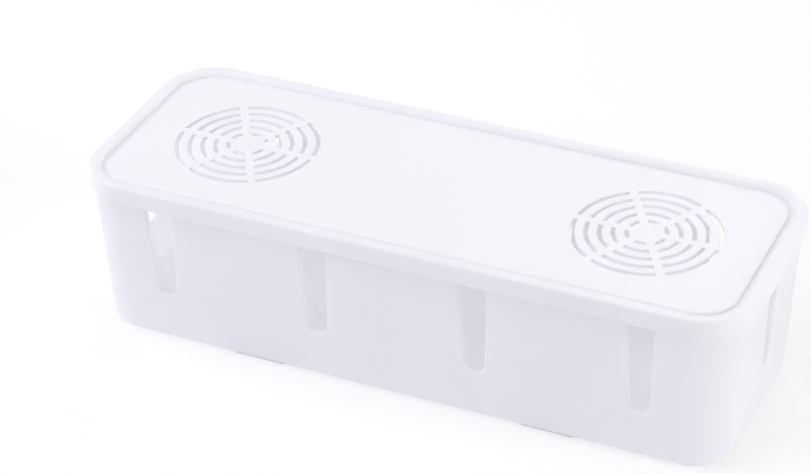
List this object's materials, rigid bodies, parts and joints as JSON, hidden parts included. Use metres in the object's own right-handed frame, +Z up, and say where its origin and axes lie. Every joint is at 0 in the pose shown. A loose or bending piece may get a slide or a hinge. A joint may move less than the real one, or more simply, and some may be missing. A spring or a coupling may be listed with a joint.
{
  "type": "cable management box",
  "caption": "Free-standing plastic box that hides a power strip and its cables, with cable notches in the walls and a lift-off lid with round vent grilles.",
  "frame": {"origin": "centre of the footprint, on the surface that the pads stand on", "axes": "+X along the box's length, +Y from the front wall to the rear wall, +Z up"},
  "size_m": [0.268, 0.098, 0.07],
  "materials": {
    "white_plastic": "satin moulded polypropylene",
    "pad_rubber": "matt soft rubber"
  },
  "bodies": {
    "base": {"tray": "white_plastic", "foot_front_left": "pad_rubber", "foot_front_right": "pad_rubber", "foot_rear_left": "pad_rubber", "foot_rear_right": "pad_rubber"},
    "cover": {"lid": "white_plastic"}
  },
  "joints": [
    {"name": "lid_lift", "type": "slide", "parent": "base", "child": "cover", "axis": [0, 0, 1], "range_m": [0, 0.09]}
  ]
}
